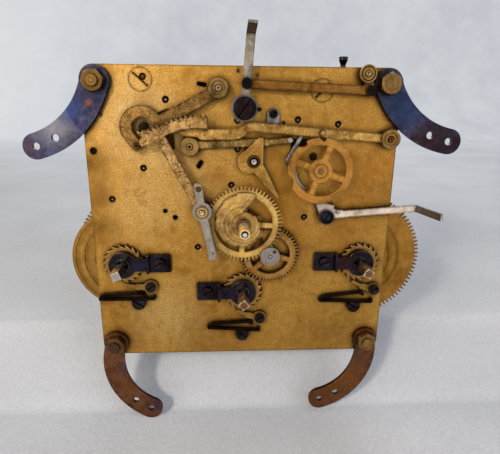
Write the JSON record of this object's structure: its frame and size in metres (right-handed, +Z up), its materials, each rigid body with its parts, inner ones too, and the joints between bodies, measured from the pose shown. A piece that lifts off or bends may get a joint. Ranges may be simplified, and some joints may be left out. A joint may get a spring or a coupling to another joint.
{
  "type": "three-train clock movement",
  "caption": "Spring-driven striking and chiming clock movement between two brass plates, with rack and snail strike work, motion work and curved case lugs.",
  "frame": {"origin": "axis of the centre arbor at the front plate's outer face", "axes": "-Y out of the front along the hands' arbor, +X to the viewer's right, +Z up"},
  "size_m": [0.1951, 0.0924, 0.1931],
  "materials": {
    "brass_plate": "mottled, aged",
    "brass_wheel": "turned, aged",
    "brass_dull": "dull, tarnished",
    "blued_steel": "blued and browned",
    "rusty_steel": "brown, rusted",
    "black_steel": "blackened",
    "arbor_steel": "bright, worn",
    "nickel_silver": "satin",
    "rack_brass": "pitted"
  },
  "bodies": {
    "frame": {"front_plate": "brass_plate", "back_plate": "brass_plate", "pillars": "brass_wheel", "pillar_nuts": "brass_wheel", "upper_lugs": "blued_steel", "lower_lugs": "rusty_steel", "ratchet_bridges": "black_steel", "click_springs": "black_steel", "front_screws": "black_steel", "pivot_bushes": "brass_plate", "lever_posts": "brass_dull", "spring_tabs": "nickel_silver", "back_cock": "brass_wheel", "hammer_frame": "brass_wheel"},
    "strike_winding": {"strike_winding_arbor": "arbor_steel"},
    "strike_click": {"strike_click": "brass_wheel"},
    "going_winding": {"going_winding_arbor": "arbor_steel"},
    "going_click": {"going_click": "brass_wheel"},
    "chime_winding": {"chime_winding_arbor": "arbor_steel"},
    "chime_click": {"chime_click": "brass_wheel"},
    "strike_warning": {"strike_warning_wheel": "brass_wheel"},
    "strike_fly": {"strike_fly": "brass_wheel"},
    "gathering": {"gathering_wheel": "brass_wheel"},
    "strike_third": {"strike_third_wheel": "brass_wheel"},
    "strike_second": {"strike_second_wheel": "brass_wheel"},
    "strike_barrel": {"strike_barrel": "brass_wheel", "strike_mainspring": "arbor_steel"},
    "going_third": {"going_third_wheel": "brass_wheel"},
    "escape": {"escape_wheel": "brass_wheel"},
    "centre": {"centre_wheel": "brass_wheel", "cannon_pinion": "brass_wheel"},
    "going_second": {"going_second_wheel": "brass_wheel"},
    "going_barrel": {"going_barrel": "brass_wheel", "going_mainspring": "arbor_steel"},
    "minute_wheel": {"minute_wheel": "brass_wheel"},
    "hour_wheel": {"hour_wheel": "brass_wheel"},
    "pallets": {"pallets": "arbor_steel"},
    "chime_warning": {"chime_warning_wheel": "brass_wheel"},
    "chime_fly": {"chime_fly": "brass_wheel"},
    "locking": {"locking_wheel": "brass_wheel"},
    "chime_count": {"chime_count_arbor": "brass_wheel", "count_wheel": "brass_wheel"},
    "chime_second": {"chime_second_wheel": "brass_wheel", "chime_drum": "brass_wheel"},
    "chime_barrel": {"chime_barrel": "brass_wheel", "chime_mainspring": "arbor_steel"},
    "rack": {"rack": "rack_brass", "rack_tail": "nickel_silver"},
    "rack_hook": {"rack_hook": "brass_dull"},
    "warning_lever": {"warning_lever": "brass_dull"},
    "lifting_lever": {"lifting_lever": "brass_wheel"},
    "silence_lever": {"silence_lever": "nickel_silver"},
    "silence_link": {"silence_link": "brass_dull"},
    "silence_crank": {"silence_crank": "brass_dull"},
    "chime_silence": {"chime_silence_lever": "nickel_silver"},
    "release_lever": {"release_lever": "brass_dull"},
    "hammer_1": {"hammer_1": "brass_wheel"},
    "hammer_2": {"hammer_2": "brass_wheel"},
    "hammer_3": {"hammer_3": "brass_wheel"},
    "hammer_4": {"hammer_4": "brass_wheel"}
  },
  "joints": [
    {"name": "strike_winding_turn", "type": "hinge", "parent": "frame", "child": "strike_winding", "pos_m": [-0.057, 0, -0.0203], "axis": [0, -1, 0], "continuous": true},
    {"name": "strike_click_turn", "type": "hinge", "parent": "frame", "child": "strike_click", "pos_m": [-0.0447, 0, -0.0323], "axis": [0, -1, 0], "range_deg": [0, 8], "stiffness_Nm_per_rad": 0.02},
    {"name": "going_winding_turn", "type": "hinge", "parent": "frame", "child": "going_winding", "pos_m": [0, 0, -0.0353], "axis": [0, -1, 0], "continuous": true},
    {"name": "going_click_turn", "type": "hinge", "parent": "frame", "child": "going_click", "pos_m": [0.0085, 0, -0.0497], "axis": [0, -1, 0], "range_deg": [0, 8], "stiffness_Nm_per_rad": 0.02},
    {"name": "chime_winding_turn", "type": "hinge", "parent": "frame", "child": "chime_winding", "pos_m": [0.057, 0, -0.0203], "axis": [0, -1, 0], "continuous": true},
    {"name": "chime_click_turn", "type": "hinge", "parent": "frame", "child": "chime_click", "pos_m": [0.0653, 0, -0.0349], "axis": [0, -1, 0], "range_deg": [0, 8], "stiffness_Nm_per_rad": 0.02},
    {"name": "strike_warning_turn", "type": "hinge", "parent": "frame", "child": "strike_warning", "pos_m": [-0.034, 0, 0.0552], "axis": [0, -1, 0], "continuous": true},
    {"name": "strike_fly_turn", "type": "hinge", "parent": "frame", "child": "strike_fly", "pos_m": [-0.0433, 0, 0.0646], "axis": [0, -1, 0], "continuous": true},
    {"name": "gathering_turn", "type": "hinge", "parent": "frame", "child": "gathering", "pos_m": [-0.0436, 0, 0.044], "axis": [0, -1, 0], "continuous": true},
    {"name": "strike_third_turn", "type": "hinge", "parent": "frame", "child": "strike_third", "pos_m": [-0.0451, 0, 0.0253], "axis": [0, -1, 0], "continuous": true},
    {"name": "strike_second_turn", "type": "hinge", "parent": "frame", "child": "strike_second", "pos_m": [-0.0601, 0, 0.0109], "axis": [0, -1, 0], "continuous": true},
    {"name": "strike_barrel_turn", "type": "hinge", "parent": "frame", "child": "strike_barrel", "pos_m": [-0.057, 0, -0.0203], "axis": [0, -1, 0], "continuous": true},
    {"name": "going_third_turn", "type": "hinge", "parent": "frame", "child": "going_third", "pos_m": [-0.0055, 0, 0.0175], "axis": [0, -1, 0], "continuous": true},
    {"name": "escape_turn", "type": "hinge", "parent": "frame", "child": "escape", "pos_m": [-0.0026, 0, 0.034], "axis": [0, -1, 0], "continuous": true},
    {"name": "centre_turn", "type": "hinge", "parent": "frame", "child": "centre", "pos_m": [0, 0, 0], "axis": [0, -1, 0], "continuous": true},
    {"name": "going_second_turn", "type": "hinge", "parent": "frame", "child": "going_second", "pos_m": [-0.0215, 0, -0.0125], "axis": [0, -1, 0], "continuous": true},
    {"name": "going_barrel_turn", "type": "hinge", "parent": "frame", "child": "going_barrel", "pos_m": [0, 0, -0.0353], "axis": [0, -1, 0], "continuous": true},
    {"name": "minute_wheel_turn", "type": "hinge", "parent": "frame", "child": "minute_wheel", "pos_m": [0.01269, 0, -0.01572], "axis": [0, -1, 0], "continuous": true},
    {"name": "hour_wheel_turn", "type": "hinge", "parent": "frame", "child": "hour_wheel", "pos_m": [0, 0, 0], "axis": [0, -1, 0], "continuous": true},
    {"name": "pallets_turn", "type": "hinge", "parent": "frame", "child": "pallets", "pos_m": [-0.0026, 0, 0.04673], "axis": [0, -1, 0], "range_deg": [-1.5, 1.5]},
    {"name": "chime_warning_turn", "type": "hinge", "parent": "frame", "child": "chime_warning", "pos_m": [0.0242, 0, 0.047], "axis": [0, -1, 0], "continuous": true},
    {"name": "chime_fly_turn", "type": "hinge", "parent": "frame", "child": "chime_fly", "pos_m": [0.0355, 0, 0.0609], "axis": [0, -1, 0], "continuous": true},
    {"name": "locking_turn", "type": "hinge", "parent": "frame", "child": "locking", "pos_m": [0.0425, 0, 0.0452], "axis": [0, -1, 0], "continuous": true},
    {"name": "chime_count_turn", "type": "hinge", "parent": "frame", "child": "chime_count", "pos_m": [0.0346, 0, 0.025], "axis": [0, -1, 0], "continuous": true},
    {"name": "chime_second_turn", "type": "hinge", "parent": "frame", "child": "chime_second", "pos_m": [0.029, 0, 0.0021], "axis": [0, -1, 0], "continuous": true},
    {"name": "chime_barrel_turn", "type": "hinge", "parent": "frame", "child": "chime_barrel", "pos_m": [0.057, 0, -0.0203], "axis": [0, -1, 0], "continuous": true},
    {"name": "rack_turn", "type": "hinge", "parent": "frame", "child": "rack", "pos_m": [-0.0188, 0, 0.0066], "axis": [0, -1, 0], "range_deg": [0, 16]},
    {"name": "rack_hook_turn", "type": "hinge", "parent": "frame", "child": "rack_hook", "pos_m": [-0.011, 0, 0.0602], "axis": [0, -1, 0], "range_deg": [-8, 0]},
    {"name": "warning_lever_turn", "type": "hinge", "parent": "frame", "child": "warning_lever", "pos_m": [-0.0239, 0, 0.0353], "axis": [0, -1, 0], "range_deg": [0, 2]},
    {"name": "lifting_lever_turn", "type": "hinge", "parent": "frame", "child": "lifting_lever", "pos_m": [0.0656, 0, 0.0392], "axis": [0, -1, 0], "range_deg": [-2, 0]},
    {"name": "silence_lever_turn", "type": "hinge", "parent": "frame", "child": "silence_lever", "pos_m": [0.00015, 0, 0.052], "axis": [0, -1, 0], "range_deg": [0, 10]},
    {"name": "silence_link_turn", "type": "hinge", "parent": "silence_lever", "child": "silence_link", "pos_m": [0.0011, 0, 0.0622], "axis": [0, -1, 0], "range_deg": [-10, 0]},
    {"name": "silence_crank_turn", "type": "hinge", "parent": "frame", "child": "silence_crank", "pos_m": [0.0534, 0, 0.0668], "axis": [0, -1, 0], "range_deg": [-14.2, 0]},
    {"name": "chime_silence_turn", "type": "hinge", "parent": "frame", "child": "chime_silence", "pos_m": [0.0389, 0, 0.0032], "axis": [0, -1, 0], "range_deg": [-5, 3]},
    {"name": "release_lever_turn", "type": "hinge", "parent": "frame", "child": "release_lever", "pos_m": [0.0045, 0, 0.0289], "axis": [0, -1, 0], "range_deg": [0, 12]},
    {"name": "hammer_1_turn", "type": "hinge", "parent": "frame", "child": "hammer_1", "pos_m": [0.054, 0, 0.024], "axis": [0, -1, 0], "range_deg": [0, 18]},
    {"name": "hammer_2_turn", "type": "hinge", "parent": "frame", "child": "hammer_2", "pos_m": [0.054, 0, 0.024], "axis": [0, -1, 0], "range_deg": [0, 18]},
    {"name": "hammer_3_turn", "type": "hinge", "parent": "frame", "child": "hammer_3", "pos_m": [0.054, 0, 0.024], "axis": [0, -1, 0], "range_deg": [0, 18]},
    {"name": "hammer_4_turn", "type": "hinge", "parent": "frame", "child": "hammer_4", "pos_m": [0.054, 0, 0.024], "axis": [0, -1, 0], "range_deg": [0, 18]}
  ],
  "couplings": [
    {"joint": "strike_fly_turn", "follows": "strike_warning_turn", "ratio": -6},
    {"joint": "gathering_turn", "follows": "strike_warning_turn", "ratio": -0.14286},
    {"joint": "strike_third_turn", "follows": "strike_warning_turn", "ratio": 0.034286},
    {"joint": "strike_second_turn", "follows": "strike_warning_turn", "ratio": -0.007619},
    {"joint": "strike_barrel_turn", "follows": "strike_warning_turn", "ratio": 0.00090703},
    {"joint": "escape_turn", "follows": "going_third_turn", "ratio": -9},
    {"joint": "centre_turn", "follows": "going_third_turn", "ratio": -0.11111},
    {"joint": "going_second_turn", "follows": "going_third_turn", "ratio": 0.027778},
    {"joint": "going_barrel_turn", "follows": "going_third_turn", "ratio": -0.0033069},
    {"joint": "minute_wheel_turn", "follows": "going_third_turn", "ratio": 0.055556},
    {"joint": "hour_wheel_turn", "follows": "going_third_turn", "ratio": -0.0092593},
    {"joint": "chime_fly_turn", "follows": "chime_warning_turn", "ratio": -7},
    {"joint": "locking_turn", "follows": "chime_warning_turn", "ratio": -0.25},
    {"joint": "chime_count_turn", "follows": "chime_warning_turn", "ratio": 0.027778},
    {"joint": "chime_second_turn", "follows": "chime_warning_turn", "ratio": -0.0079365},
    {"joint": "chime_barrel_turn", "follows": "chime_warning_turn", "ratio": 0.0011574},
    {"joint": "lifting_lever_turn", "follows": "warning_lever_turn", "ratio": -0.998},
    {"joint": "silence_link_turn", "follows": "silence_lever_turn", "ratio": -1},
    {"joint": "silence_crank_turn", "follows": "silence_lever_turn", "ratio": -1.42}
  ]
}
